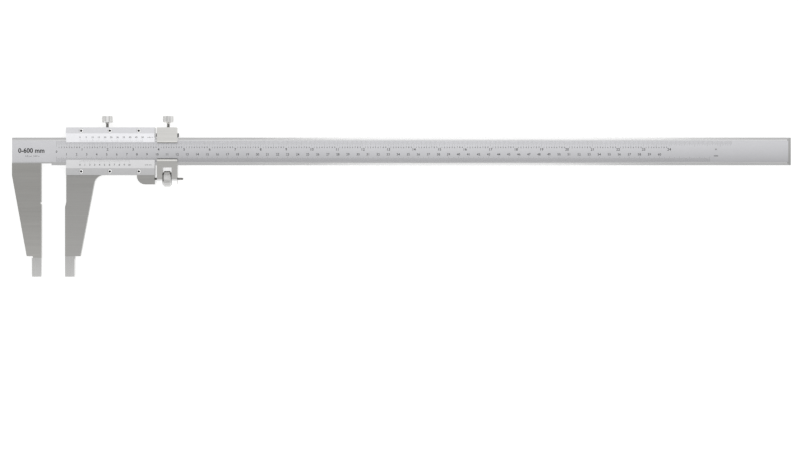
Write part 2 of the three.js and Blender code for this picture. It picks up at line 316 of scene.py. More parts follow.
class Look:
    """A surface's node tree, in the object's own coordinates."""

    def __init__(self, name, roughness, metallic=1.0):
        self.material = bpy.data.materials.new(name)
        self.material.use_nodes = True
        self.nodes = self.material.node_tree.nodes
        self.links = self.material.node_tree.links
        self.shader = self.nodes["Principled BSDF"]
        self.shader.inputs["Metallic"].default_value = metallic
        self.shader.inputs["Roughness"].default_value = roughness
        self.position = self.nodes.new("ShaderNodeTexCoord").outputs["Object"]

    def noise(self, scale, detail):
        """Noise whose scale is cycles per metre along each axis, so that it can be a grain."""
        mapping = self.nodes.new("ShaderNodeMapping")
        mapping.inputs["Scale"].default_value = scale
        self.links.new(self.position, mapping.inputs["Vector"])
        texture = self.nodes.new("ShaderNodeTexNoise")
        texture.inputs["Scale"].default_value = 1.0
        texture.inputs["Detail"].default_value = detail
        texture.inputs["Roughness"].default_value = 0.6
        self.links.new(mapping.outputs["Vector"], texture.inputs["Vector"])
        return texture.outputs["Fac"]

    def spread(self, value, low, high, start=0.3, end=0.7):
        """value, taken from start..end to low..high."""
        node = self.nodes.new("ShaderNodeMapRange")
        node.inputs["From Min"].default_value = start
        node.inputs["From Max"].default_value = end
        node.inputs["To Min"].default_value = low
        node.inputs["To Max"].default_value = high
        self.links.new(value, node.inputs["Value"])
        return node.outputs["Result"]

    def along(self, axis, start, end):
        """0 to 1 between two places on an axis, in millimetres from the datum."""
        split = self.nodes.new("ShaderNodeSeparateXYZ")
        self.links.new(self.position, split.inputs["Vector"])
        origin = DATUM["XYZ".index(axis)]
        return self.spread(split.outputs[axis], 0.0, 1.0, origin + start * MM, origin + end * MM)

    def power(self, value, exponent):
        node = self.nodes.new("ShaderNodeMath")
        node.operation = "POWER"
        self.links.new(value, node.inputs[0])
        node.inputs[1].default_value = exponent
        return node.outputs["Value"]

    def mix(self, factor, first, second):
        node = self.nodes.new("ShaderNodeMix")
        node.data_type = "RGBA"
        self.links.new(factor, node.inputs["Factor"])
        for socket, colour in (("A", first), ("B", second)):
            target = next(s for s in node.inputs if s.name == socket and s.type == "RGBA")
            if isinstance(colour, tuple):
                target.default_value = (*colour, 1.0)
            else:
                self.links.new(colour, target)
        return next(s for s in node.outputs if s.type == "RGBA")

    def scaled(self, colour, value):
        """A colour made lighter or darker by a value near 1."""
        node = self.nodes.new("ShaderNodeVectorMath")
        node.operation = "SCALE"
        self.links.new(colour, node.inputs[0])
        self.links.new(value, node.inputs["Scale"])
        return node.outputs["Vector"]

    def colour(self, socket):
        self.links.new(socket, self.shader.inputs["Base Color"])

    def roughness(self, socket):
        self.links.new(socket, self.shader.inputs["Roughness"])

    def bump(self, height, distance):
        """Relief, whose depth is in metres."""
        node = self.nodes.new("ShaderNodeBump")
        node.inputs["Distance"].default_value = distance
        node.inputs["Strength"].default_value = 1.0
        self.links.new(height, node.inputs["Height"])
        self.links.new(node.outputs["Normal"], self.shader.inputs["Normal"])


def tone(grey, warmth=0.0):
    """A grey, warmer or cooler by a small share, which is taken off its blue or added to it."""
    return (grey * (1 + max(warmth, 0) / 3), grey, grey * (1 - warmth))


BLASTED = (2600, 2600, 2600)
CLOUDY = (30, 55, 55)
SHADE_FADE_POWER = 1.6  # the painted shade on a satin face deepens slowly at first
HEAD_SHADE_FADE = (5, 130)  # where the painted shade's greys at the head turn into the beam's, along X


def satin(name, light, dark, fade, roughness, warmth=-0.03, head=None):
    """Bead-blasted chrome, with painted shade. fade is the axis and the two places between which
    its colour is painted from light to dark.

    head gives the two greys that the same painted shade has at the fixed jaw's end.
    """
    look = Look(name, roughness)
    grit = look.noise(BLASTED, 3)
    cloud = look.noise(CLOUDY, 3)
    across = look.power(look.along(*fade), SHADE_FADE_POWER)
    base = look.mix(across, tone(light, warmth), tone(dark, warmth))
    if head:
        at_head = look.mix(across, tone(head[0], warmth), tone(head[1], warmth))
        base = look.mix(look.along("X", *HEAD_SHADE_FADE), at_head, base)
    base = look.scaled(base, look.spread(grit, 0.95, 1.05))
    look.colour(look.scaled(base, look.spread(cloud, 0.985, 1.015)))
    look.roughness(look.spread(grit, roughness - 0.05, roughness + 0.05))
    look.bump(grit, 0.00001)
    return look.material


GRAIN_RELIEF = 0.00018  # in metres, for a streak of 1


def ground(name, light, dark, fade, roughness, grain, warmth=0.03, streak=0.045):
    """Surface-ground steel. grain is the noise's cycles per metre along X, Y and Z.
    Its colour goes from the first grey to the second between the two places of fade, as painted
    shade.

    streak is how far the grain moves the colour from its mean, and it also sets the relief.
    """
    look = Look(name, roughness)
    lines = look.noise(grain, 5)
    broad = look.noise(tuple(g / 9 for g in grain), 3)
    base = look.mix(look.along(*fade), tone(light, warmth), tone(dark, warmth))
    base = look.scaled(base, look.spread(lines, 1 - streak, 1 + streak))
    look.colour(look.scaled(base, look.spread(broad, 1 - streak / 2, 1 + streak / 2)))
    look.roughness(look.spread(lines, roughness - 0.05, roughness + 0.05))
    look.bump(lines, streak * GRAIN_RELIEF)
    return look.material


def bright(name, grey, roughness):
    """Polished or turned metal with fine tool marks and faint handling smears."""
    look = Look(name, roughness)
    warmth = 0.004
    marks = look.noise((900, 5200, 5200), 2)
    smear = look.noise((160, 160, 160), 3)
    base = look.mix(look.spread(marks, 0, 1), tone(grey * 0.94, warmth), tone(grey * 1.04, warmth))
    look.colour(base)
    look.roughness(look.spread(smear, roughness * 0.8, roughness * 1.3))
    look.bump(marks, 0.000004)
    return look.material


def knurled(name, grey, roughness, bands):
    """Chromed knurling. bands is the noise's cycles per metre, for streaks along the teeth."""
    look = Look(name, roughness)
    streaks = look.noise(bands, 2)
    share = look.spread(streaks, 0, 1, 0.4, 0.6)
    look.colour(look.mix(share, tone(grey * 0.76, 0.02), tone(grey, 0.01)))
    look.roughness(look.spread(streaks, roughness * 1.3, roughness * 0.8))
    return look.material


def dark_metal(name, grey, roughness):
    """Oiled or blackened steel, and, near black, the painted shade inside the screws' recesses."""
    look = Look(name, roughness)
    warmth = 0.03
    patches = look.noise((700, 700, 700), 4)
    share = look.spread(patches, 0, 1)
    look.colour(look.mix(share, tone(grey * 0.8, warmth), tone(grey * 1.25, warmth)))
    look.roughness(look.spread(patches, roughness - 0.08, roughness + 0.1))
    look.bump(patches, 0.00001)
    return look.material


def ink(name, grey):
    """The filling of an engraved mark."""
    look = Look(name, 0.6, metallic=0.0)
    worn = look.noise((1500, 1500, 1500), 3)
    look.colour(look.mix(look.spread(worn, 0, 1), tone(grey * 0.7), tone(grey * 1.5)))
    look.roughness(look.spread(worn, 0.5, 0.7))
    return look.material


ALONG_X = (18, 1500, 1500)  # grain that runs along the beam
ACROSS = (1500, 18, 1500)  # grain that runs along Y
LAPPED = (2400, 60, 2400)  # finer grain that runs along Y
ALONG_KNOB = (330, 40, 330)  # streaks along the teeth of a knob, which turns about Y
ALONG_NUT = (40, 420, 420)  # and of the feed nut, which turns about X
# the beam's faces are painted lighter along the top edge and darker along the bottom, as shade,
# between these places
FACE_SHADE_FADE = ("Y", FACE_HALF, -FACE_HALF)

# Painted shade across the scale face, from light at the top to dark at the bottom, weaker at the
# fixed jaw's end.
SATIN = satin("satin_chrome_face_painted_shade", 0.76, 0.52, FACE_SHADE_FADE, 0.38, head=(0.8, 0.73))
# The top rail's flat is painted lighter than the bottom one's, and the end chamfer lighter above
# than below, as shade; the rails' sloping edges are painted almost even.
RAIL_FLAT = ground("ground_rail_flat", 0.84, 0.63, FACE_SHADE_FADE, 0.3, ALONG_X, -0.01)
END_GROUND = ground("ground_end", 0.5, 0.4, FACE_SHADE_FADE, 0.3, ACROSS, 0.01)
RAIL_GROUND = ground("ground_rail_edge", 0.61, 0.6, FACE_SHADE_FADE, 0.2, ALONG_X, 0.0)
# The fixed jaw, the slider and the lapped nibs are painted darker nearer the beam and lighter
# towards the tips, as shade.
JAW_GROUND = ground("ground_jaw", 0.41, 0.51, ("Y", -60, -104), 0.34, ALONG_X, 0.04)
NIB_SHADE_FADE = ("Y", SHOULDER, JAW_TIP)
NIB_GROUND = ground("lapped_nib", 0.62, 0.73, NIB_SHADE_FADE, 0.3, LAPPED, 0.015, 0.012)
SLIDER_GROUND = ground("ground_slider", 0.42, 0.49, ("Y", -40, -104), 0.34, ALONG_X, 0.03)
# The vernier plates are one satin finish, the upper painted light and the lower darker, as light
# and shade; each is also a little darker towards one edge, as shade.
UPPER_SHADE_FADE = ("Y", SLIDER_TOP, UPPER_READING)
LOWER_SHADE_FADE = ("Y", LOWER_READING, SLIDER_BOTTOM)
UPPER_SATIN_LIT = satin("vernier_satin_upper_lit", 0.92, 0.88, UPPER_SHADE_FADE, 0.34)
LOWER_SATIN_SHADED = satin("vernier_satin_lower_shaded", 0.71, 0.66, LOWER_SHADE_FADE, 0.34, -0.01)
# Painted shadow: the faces of the lips over the beam are near black at their foot and lighter
# towards the top.
LIP_SHADOW_FADE = ("Z", 9.6, 11.2)
LIP_SHADOW = ground("carriage_lip_painted_shadow", 0.08, 0.5, LIP_SHADOW_FADE, 0.34, ALONG_X, 0.05, 0.03)
CARRIAGE_SHADE_STEP = ("Y", -9.4, -10.0)  # a step between its light part and its lower part, which is painted darker as shade
CARRIAGE_GROUND = ground("ground_carriage", 0.82, 0.54, CARRIAGE_SHADE_STEP, 0.34, ALONG_X, 0.03, 0.03)
# polished, and painted near white as a highlight on the carriage's rounded lower corners
CHEEK_HIGHLIGHT = bright("cheek_polished_highlight", 0.98, 0.12)
SCREW_BRIGHT = bright("screw_bright", 0.95, 0.2)
KNURL_BRIGHT = knurled("knurl_bright", 0.98, 0.13, ALONG_KNOB)
NUT_BRIGHT = knurled("nut_bright", 0.66, 0.2, ALONG_NUT)
THREAD_DARK = dark_metal("thread_dark", 0.37, 0.38)
SPRING_DARK = dark_metal("spring_dark", 0.14, 0.4)
# painted shade: near black on the walls of the plate screws' cross recesses
RECESS_SHADE = dark_metal("recess_painted_shade", 0.03, 0.6)
MARK_INK = ink("mark_ink", 0.03)


# ------------------------------------------------------------------ engraved marks


class Marks:
    """Engraved lines and numerals, gathered into one mesh, on a plane of the object.

    u runs along X and v up the plane, both in millimetres from the origin given.
    """

    STAND = 0.012  # the filling stands this far above the plane
    SINK = 0.02  # and reaches this far below it
    CAPITAL = 0.69  # the height of a capital in the font's own units
    glyphs = {}

    def __init__(self, origin, v_axis):
        self.origin = Vector(origin)
        self.u = Vector((1, 0, 0))
        self.v = Vector(v_axis).normalized()
        self.normal = self.u.cross(self.v)
        self.verts = []
        self.faces = []

    def add(self, verts, faces):
        """Adds a mesh whose points are (u, v, height above the plane)."""
        start = len(self.verts)
        self.verts += [self.origin + self.u * a + self.v * b + self.normal * c for a, b, c in verts]
        self.faces += [tuple(start + i for i in face) for face in faces]

    def line(self, u, low, high, width=0.12):
        left, right = u - width / 2, u + width / 2
        base = [(left, low), (right, low), (right, high), (left, high)]
        verts = [(a, b, c) for c in (-self.SINK, self.STAND) for a, b in base]
        sides = [(i, (i + 1) % 4, 4 + (i + 1) % 4, 4 + i) for i in range(4)]
        self.add(verts, [(3, 2, 1, 0), (4, 5, 6, 7), *sides])

    @classmethod
    def glyph(cls, text, weight):
        """The mesh of a text, centred, with its capitals one unit tall."""
        key = (text, weight)
        if key not in cls.glyphs:
            curve = bpy.data.curves.new("text", "FONT")
            curve.body = text
            curve.align_x = "CENTER"
            curve.resolution_u = 3
            curve.offset = weight
            curve.extrude = 0.5
            obj = bpy.data.objects.new("text", curve)
            bpy.context.scene.collection.objects.link(obj)
            graph = bpy.context.evaluated_depsgraph_get()
            mesh = bpy.data.meshes.new_from_object(obj.evaluated_get(graph))
            points = np.array([v.co for v in mesh.vertices], float)
            points[:, 1] -= cls.CAPITAL / 2
            points[:, :2] /= cls.CAPITAL
            cls.glyphs[key] = (points, [tuple(p.vertices) for p in mesh.polygons])
            bpy.data.objects.remove(obj)
            bpy.data.curves.remove(curve)
        return cls.glyphs[key]

    def text(self, text, u, v, height, weight=0.0):
        """Lettering centred on a point. height is that of its capitals."""
        points, faces = self.glyph(text, weight)
        verts = [
            (u + x * height, v + y * height, self.STAND if z > 0 else -self.SINK)
            for x, y, z in points
        ]
        self.add(verts, faces)

    def install(self, name, body, slot):
        install(new_object(name, self.verts, self.faces), name, body, MARK_INK)


INCH = 25.4
SCALE_ZERO = 15.0  # both scales start here
VERNIER_ZERO = SCALE_ZERO + OPENING  # the verniers read the opening between the jaws
TICK_FOOT = FACE_HALF - 0.1
MM_LENGTH = 650  # of the ruled scales: in millimetres, and in twentieths of an inch
INCH_TWENTIETHS = 529
VERNIER_PARTS = 50
INCH_VERNIER_STEP = 2.45 * INCH / VERNIER_PARTS
MM_VERNIER_STEP = 0.98
VERNIER_TICK = 0.1  # the width of a vernier's lines
VERNIER_TICKS = ((10, 3.4), (5, 2.8), (1, 2.0))  # the longest first
BOLD = 0.012  # how far the numerals' outlines are moved out
UNIT_X = 671.2  # the units stand past the ends of the scales


def tick_end(i, ends):
    """Where tick i ends. ends gives a place for every so many ticks, the coarsest first."""
    return next(end for every, end in ends if i % every == 0)


def beam_marks():
    marks = Marks((0, 0, FACE_Z), (0, 1, 0))
    for i in range(MM_LENGTH + 1):
        top = tick_end(i, ((10, -5.2), (5, -5.9), (1, -6.6)))
        marks.line(SCALE_ZERO + i, -TICK_FOOT, top)
    for i in range(1, 61):
        marks.text(str(i), SCALE_ZERO + 10 * i, -2.9, 2.3, BOLD)
    for i in range(INCH_TWENTIETHS + 1):
        low = tick_end(i, ((20, 4.8), (10, 5.3), (2, 5.9), (1, 7.0)))
        marks.line(SCALE_ZERO + i * INCH / 20, low, TICK_FOOT)
    for i in range(1, 25):
        marks.text(str(i), SCALE_ZERO + i * INCH, 2.1, 2.6, BOLD)
    for i in range(240):
        if i % 10:
            marks.text(str(i % 10), SCALE_ZERO + i * INCH / 10, 4.05, 1.45, 0.015)
    marks.text("0", SCALE_ZERO, -0.2, 2.3, BOLD)
    marks.text("in", UNIT_X, 2.3, 1.9, BOLD)
    marks.text("mm", UNIT_X, -4.2, 1.9, BOLD)
    marks.text("0-600 mm", -10.0, 0.9, 4.4, 0.03)
    marks.text("0.02 mm   0.001 in", -9.0, -4.7, 1.3)
    marks.install("beam_graduations", "beam", "satin_chrome")


def vernier_marks():
    """The two verniers, ruled on the plates' bevels from their reading edges."""
    edge_z = SLIDER_FRONT + PLATE_EDGE
    rise = PLATE_FRONT - edge_z
    upper = Marks((0, UPPER_READING, edge_z), (0, UPPER_FLAT - UPPER_READING, rise))
    lower = Marks((0, LOWER_READING, edge_z), (0, LOWER_READING - LOWER_FLAT, -rise))
    for i in range(VERNIER_PARTS + 1):
        upper_x = VERNIER_ZERO + i * INCH_VERNIER_STEP
        lower_x = VERNIER_ZERO + i * MM_VERNIER_STEP
        length = tick_end(i, VERNIER_TICKS)
        upper.line(upper_x, 0.15, length, VERNIER_TICK)
        lower.line(lower_x, -length, -0.15, VERNIER_TICK)
        if i % 5 == 0:
            upper.text(str(i), upper_x, 5.3, 1.7, 0.01)
            lower.text(str(i // 5), lower_x, -5.5, 1.9, 0.01)
    upper.text("0.001 in", 108.6, 5.2, 1.2)
    lower.text("0.02 mm", 106.5, -5.5, 1.3)
    upper.install("inch_vernier_graduations", "slider", "vernier_chrome")
    lower.install("mm_vernier_graduations", "slider", "vernier_chrome")


# ------------------------------------------------------------------ beam and fixed jaw


def beam_section():
    """The beam across its length: sloping edges, raised rails and the scale face between them."""
    low, high = BEAM_LOW.z, BEAM_HIGH.z
    upper_half = [
        (BEAM_HALF - STRIP, low),
        (BEAM_HALF, low + STRIP_DROP),
        (BEAM_HALF, high - STRIP_DROP),
        (BEAM_HALF - STRIP, high),
        (FACE_HALF, high),
        (FACE_HALF, FACE_Z),
    ]
    return upper_half + [(-y, z) for y, z in reversed(upper_half)]


def make_beam():
    beam = prism("x", beam_section(), BEAM_LOW.x, BEAM_HIGH.x)
    jaw_room = block(
        (BEAM_LOW.x - 1, HEAD_END), (-BEAM_HALF - 1, HEAD_EDGE), (0, BEAM_HIGH.z + 1)
    )
    right, top = BEAM_HIGH.x, BEAM_HIGH.z
    wedge = [
        (top + 1, right - END_CHAMFER),
        (top, right - END_CHAMFER),
        (top - END_DROP, right + 0.01),
        (top + 1, right + 1),
    ]
    cut(beam, jaw_room, prism("y", wedge, -BEAM_HALF - 1, BEAM_HALF + 1))
    bevel(beam, 0.2, 5)
    shade(beam, 30)

    def finish(face):
        y, z, up = abs(face.center.y), face.center.z, face.normal.z
        if face.normal.x > 0.05 and z > BEAM_HIGH.z - 1:
            return 3
        if y < FACE_HALF and z > FACE_Z - 0.6:
            return 0
        return 1 if y < BEAM_HALF - STRIP and up > 0.9 else 2

    paint(beam, (SATIN, RAIL_FLAT, RAIL_GROUND, END_GROUND), finish)
    install(beam, "beam_blade", "beam", replaces=["main_beam"])


def jaw_nib(face_x, outward, neck_width):
    """Flat towards the work and rounded outside, so that it also measures bores."""
    middle = (JAW_LOW.z + JAW_HIGH.z) / 2
    half = (JAW_HIGH.z - JAW_LOW.z) / 2
    sweep = math.degrees(math.asin(half / NIB_WIDTH))
    outer = arc((middle, face_x), NIB_WIDTH, outward * (90 - sweep), outward * (90 + sweep), 16)
    section = [(JAW_LOW.z, face_x), (JAW_HIGH.z, face_x), *outer]
    across = sorted((face_x, face_x + outward * neck_width))
    neck = block(across, (NECK_LOW - 0.5, SHOULDER + 0.5), (JAW_LOW.z, JAW_HIGH.z))
    return join(prism("y", section, JAW_TIP, NECK_LOW), neck)


def finish_jaw(jaw, material):
    """Breaks a jaw's edges. Its nib is lapped, and all above that is of the material given."""
    bevel(jaw, 0.22)
    shade(jaw)
    paint(jaw, (material, NIB_GROUND), lambda face: int(face.center.y < NECK_LOW + 0.6))


def make_fixed_jaw():
    outline = [
        (BEAM_LOW.x, HEAD_EDGE),
        (BEAM_LOW.x, FIXED_KNEE),
        (FIXED_SHOULDER_X, SHOULDER),
        (0, SHOULDER),
        (0, FACE_TOP),
        (-GROOVE_DEPTH, FACE_TOP + GROOVE_DEPTH),
        (-GROOVE_DEPTH, GROOVE_TOP),
        (-FIXED_RELIEF, GROOVE_TOP),
        (-FIXED_RELIEF, HEAD_EDGE),
    ]
    jaw = prism("z", outline, JAW_LOW.z, JAW_HIGH.z)
    join(jaw, jaw_nib(0, -1, NECK_WIDTH))
    finish_jaw(jaw, JAW_GROUND)
    install(jaw, "fixed_jaw_ground", "beam", replaces=["fixed_jaw"])


# ------------------------------------------------------------------ slider


def moving_jaw_outline(top):
    """The jaw up to a height on the slider, with a fillet between its back and the slider."""
    lean = math.atan(MOVING_SLOPE)
    centre_y = SLIDER_BOTTOM - MOVING_FILLET
    back_x = MOVING_SHOULDER_X + MOVING_SLOPE * (centre_y - SHOULDER)
    centre = (back_x + MOVING_FILLET / math.cos(lean), centre_y)
    return [
        (OPENING, SHOULDER),
        (MOVING_SHOULDER_X, SHOULDER),
        *arc(centre, MOVING_FILLET, 180 - math.degrees(lean), 90, 24),
        (centre[0], top),
        (SLIDER_X[0], top),
        (SLIDER_X[0], GROOVE_TOP),
        (OPENING, MOVING_RELIEF_LOW),
    ]


def make_lug():
    """The rounded ear below the slider that holds the feed screw."""
    left, right = LUG_X
    outline = [
        *arc((left + LUG_CORNER, LUG_LOW + LUG_CORNER), LUG_CORNER, 180, 270, 20),
        (right, LUG_LOW),
        (right, SLIDER_BOTTOM),
        (left, SLIDER_BOTTOM),
    ]
    root = block(LUG_X, (SLIDER_BOTTOM - 1, SLIDER_BOTTOM + 1), (LUG_Z[0], SLIDER_FRONT))
    return join(prism("z", outline, *LUG_Z), root)


def node_axis(node):
    """The middle of a node's box, which is on its axis if it is turned."""
    low, high = extent(node)
    return (low + high) / 2


PLATE_SCREWS = {
    node: node_axis(node)
    for node in (f"{row}_plate_screw_{i}" for row in ("upper", "lower") for i in (1, 2, 3))
}
GIB_SCREWS = ("gib_set_screw_1", "gib_set_screw_2")


def make_slider():
    (left, right), top, bottom, front = SLIDER_X, SLIDER_TOP, SLIDER_BOTTOM, SLIDER_FRONT
    channel = [
        (bottom, 0),
        (top, 0),
        (top, front),
        (GIB_ROOM, front),
        (GIB_ROOM, BACK_WALL),
        (-BEAM_HALF - RUN, BACK_WALL),
        (-BEAM_HALF - RUN, front),
        (bottom, front),
    ]
    body = prism("x", channel, left, right)
    join(
        body,
        prism("z", moving_jaw_outline(bottom + 1), JAW_LOW.z, front),
        prism("z", moving_jaw_outline(bottom), JAW_LOW.z, JAW_HIGH.z),
        jaw_nib(OPENING, 1, NIB_WIDTH),
        make_lug(),
    )
    tapped = {"slider_clamp_screw": CLAMP_RADIUS} | dict.fromkeys(GIB_SCREWS, SET_RADIUS)
    holes = []
    for node, radius in tapped.items():
        at = node_axis(node)
        holes.append(hole("y", (at.z, at.x), radius + THREAD_GAP, GIB_ROOM - 1, top + 1))
    feed = node_axis("feed_screw")
    feed_radius = FEED_RADIUS + THREAD_GAP
    holes.append(hole("x", (feed.y, feed.z), feed_radius, FEED_LOW.x - 0.3, right + 1))
    lock = node_axis("feed_screw_lock")
    lock_radius = SET_RADIUS + THREAD_GAP
    holes.append(hole("y", (lock.z, lock.x), lock_radius, LUG_LOW - 1, feed.y - 1.2))
    cut(body, *holes)
    finish_jaw(body, SLIDER_GROUND)
    install(body, "slider_frame_ground", "slider", replaces=["slider_frame"])


def make_vernier_plate(row, outer, flat, reading, material):
    """A plate that is flat under its screws and bevelled down to a thin reading edge."""
    edge_z = SLIDER_FRONT + PLATE_EDGE
    section = [
        (outer, SLIDER_FRONT),
        (reading, SLIDER_FRONT),
        (reading, edge_z),
        (flat, PLATE_FRONT),
        (outer, PLATE_FRONT),
    ]
    plate = prism("x", section, *SLIDER_X)
    holes = []
    for screw, at in PLATE_SCREWS.items():
        if screw.startswith(row):
            seat = extent(screw)[1].z - HEAD_TALL - 0.02
            holes.append(hole("z", (at.x, at.y), SHANK_BORE, SLIDER_FRONT - 1, PLATE_FRONT))
            holes.append(hole("z", (at.x, at.y), HEAD_BORE, seat, PLATE_FRONT + 1))
    cut(plate, *holes)
    bevel(plate, 0.14, 12)
    shade(plate, 30)
    install(
        plate, f"{row}_plate_satin", "slider", material, [f"{row}_vernier_plate"]
    )


def make_plate_screw(node, at, turn):
    """A domed head with a cross recess, left at an angle in degrees."""
    low, high = extent(node)
    radius, shank, seat = HEAD_RADIUS, SHANK_RADIUS, high.z - HEAD_TALL
    steps, dome_tall = 12, 0.7
    inward = [1 - i / steps for i in range(steps)]
    rings = [
        (shank - 0.2, low.z, 0),
        (shank, low.z + 0.2, 0),
        (shank, seat, 0),
        (radius - 0.1, seat, 0),
        (radius, seat + 0.1, 0),
        *[(radius * share, high.z - dome_tall * share**1.5, 0) for share in inward],
        (0.05, high.z, 0),
    ]
    screw = revolve("z", (at.x, at.y), rings, 48)
    reach, half, depth = 1.12, 0.46, 0.85
    turned = Matrix.Translation((at.x, at.y, 0)) @ Matrix.Rotation(math.radians(turn), 4, "Z")
    for x, y in ((reach, half), (half, reach)):
        bar = block((-x, x), (-y, y), (high.z - depth, high.z + 1))
        bar.data.transform(turned)
        cut(screw, bar)
    shade(screw, 45)

    # the faces inside the cross recess are painted near black, as shade
    def finish(face):
        out = math.hypot(face.center.x - at.x, face.center.y - at.y)
        deep = high.z - depth - 0.05 < face.center.z < high.z - 0.12
        return int(out < reach + 0.02 and deep)

    paint(screw, (SCREW_BRIGHT, RECESS_SHADE), finish)
    install(screw, f"{node}_bright", "slider", replaces=[node])


# ------------------------------------------------------------------ threads, knurls and screws


def vee(value):
    """A triangle wave: 0 at whole numbers, 1 half way between."""
    return 1 - abs(2 * (value % 1.0) - 1)


def thread(pitch):
    """A right-hand thread: its groove advances one pitch a turn."""
    return lambda angle, along: vee(along / pitch - angle / (2 * math.pi))


def knurl(teeth):
    """Straight teeth along the axis."""
    return lambda angle, along: vee(teeth * angle / (2 * math.pi))


def threaded_rings(radius, low, high, pitch, steps):
    """Rings for a threaded rod, so many to a pitch, whose thread runs out at both ends."""
    depth = 0.54 * pitch
    count = round((high - low) / pitch * steps)
    lead = 1.5 * pitch
    rings = []
    for i in range(count + 1):
        along = low + (high - low) * i / count
        taper = max(0.0, 1 - (along - low) / lead, 1 - (high - along) / lead)
        rings.append((radius - depth * taper, along, depth * (1 - taper)))
    return rings


def make_clamp_screw(node, body):
    """A knurled head on a dark threaded shank."""
    low, high = extent(node)
    at = (low + high) / 2
    centre = (at.z, at.x)
    head_low, head, chamfer = high.y - KNOB_TALL, (high.x - low.x) / 2, 0.6
    collar_low = head_low - 0.95
    rings = threaded_rings(CLAMP_RADIUS, low.y, collar_low + 0.05, CLAMP_PITCH, 7)
    shank = revolve("y", centre, rings, 28, thread(CLAMP_PITCH))
    shade(shank, 60)
    install(shank, f"{node}_thread", body, THREAD_DARK)
    teeth, deep = 44, 0.14
    rings = [
        (CLAMP_RADIUS - 0.05, collar_low, 0),
        (1.75, collar_low, 0),
        (2.6, head_low - 0.1, 0),
        (3.4, head_low, 0),
        (head - chamfer - deep, head_low, 0),
        (head - chamfer, head_low + 0.05, 0),
        (head, head_low + chamfer, deep),
        (head, high.y - chamfer, deep),
        (head - chamfer, high.y - 0.05, 0),
        (head - chamfer - deep, high.y, 0),
        (3.6, high.y, 0),
        (3.3, high.y - 0.25, 0),
        (0.4, high.y - 0.25, 0),
    ]
    knob = revolve("y", centre, rings, teeth * 4, knurl(teeth))
    shade(knob, 35)
    install(knob, f"{node}_knob", body, KNURL_BRIGHT, [node])


def make_feed_nut():
    """A knurled nut with a flat boss on each side, made to the same profile at both ends."""
    middle = node_axis("feed_nut")
    radius, chamfer, teeth, deep = (NUT_HIGH.y - NUT_LOW.y) / 2, 1.4, 56, 0.2
    left, right = NUT_LOW.x, NUT_HIGH.x
    half = [  # radius, depth in from the end, share of the knurl
        (NUT_BORE, 0.3, 0),
        (NUT_BORE + 0.3, 0, 0),
        (3.6, 0, 0),
        (3.9, 0.12, 0),
        (radius - chamfer - deep, 0.12, 0),
        (radius - 0.4, chamfer - 0.2, 0),
        (radius, chamfer + 0.25, deep),
    ]
    rings = [(r, left + inset, share) for r, inset, share in half]
    rings += [(r, right - inset, share) for r, inset, share in reversed(half)]
    nut = revolve("x", (middle.y, middle.z), rings, teeth * 4, knurl(teeth), closed=True)
    shade(nut, 35)
    install(nut, "feed_nut_knurled", "feed_nut", NUT_BRIGHT, ["feed_nut"])


def make_feed_screw():
    middle = node_axis("feed_screw")
    rings = threaded_rings(FEED_RADIUS, FEED_LOW.x, FEED_HIGH.x, FEED_PITCH, 6)
    screw = revolve("x", (middle.y, middle.z), rings, 24, thread(FEED_PITCH))
    shade(screw, 60)
    install(screw, "feed_screw_threaded", "slider", THREAD_DARK, ["feed_screw"])


def make_set_screw(node, slot_end):
    """A headless screw. slot_end is +1 if its slot is at the high end."""
    low, high = extent(node)
    at = (low + high) / 2
    rings = threaded_rings((high.x - low.x) / 2, low.y, high.y, SET_PITCH, 6)
    screw = revolve("y", (at.z, at.x), rings, 24, thread(SET_PITCH))
    outer = high.y if slot_end > 0 else low.y
    slot_deep, slot_half = 0.8, 0.25
    slot = block(
        (low.x - 1, high.x + 1),
        (outer - slot_deep, outer + slot_deep),
        (at.z - slot_half, at.z + slot_half),
    )
    cut(screw, slot)
    shade(screw, 50)
    install(screw, f"{node}_threaded", "slider", THREAD_DARK, [node])


# ------------------------------------------------------------------ gibs and carriage


def make_slider_gib():
    """A strip with a dimple under each screw that bears on it."""
    low, high = extent("slider_gib")
    strip = block((low.x, high.x), (low.y, high.y), (low.z, high.z))
    dimples = []
    for node in (*GIB_SCREWS, "slider_clamp_screw"):
        at = node_axis(node)
        dimples.append(hole("y", (at.z, at.x), DIMPLE_RADIUS, high.y - 0.2, high.y + 1))
    cut(strip, *dimples)
    bevel(strip, 0.12)
    shade(strip)
    install(
        strip, "slider_gib_strip", "slider_gib", SPRING_DARK, ["slider_gib"]
    )


def make_carriage_gib():
    """A strip with an upturned tab at each end, round where it is bent."""
    low, high = extent("carriage_gib")
    thick = 1.0
    left, right = low.x, high.x
    top = low.y + thick
    outline = [
        *arc((left + thick, top), thick, 180, 270, 8),
        *arc((right - thick, top), thick, 270, 360, 8),
        (right, high.y),
        (right - thick, high.y),
        (right - thick, top),
        (left + thick, top),
        (left + thick, high.y),
        (left, high.y),
    ]
    strip = prism("z", outline, low.z, high.z)
    bevel(strip, 0.12)
    shade(strip)
    install(
        strip, "carriage_gib_strip", "carriage_gib", SPRING_DARK, ["carriage_gib"]
    )


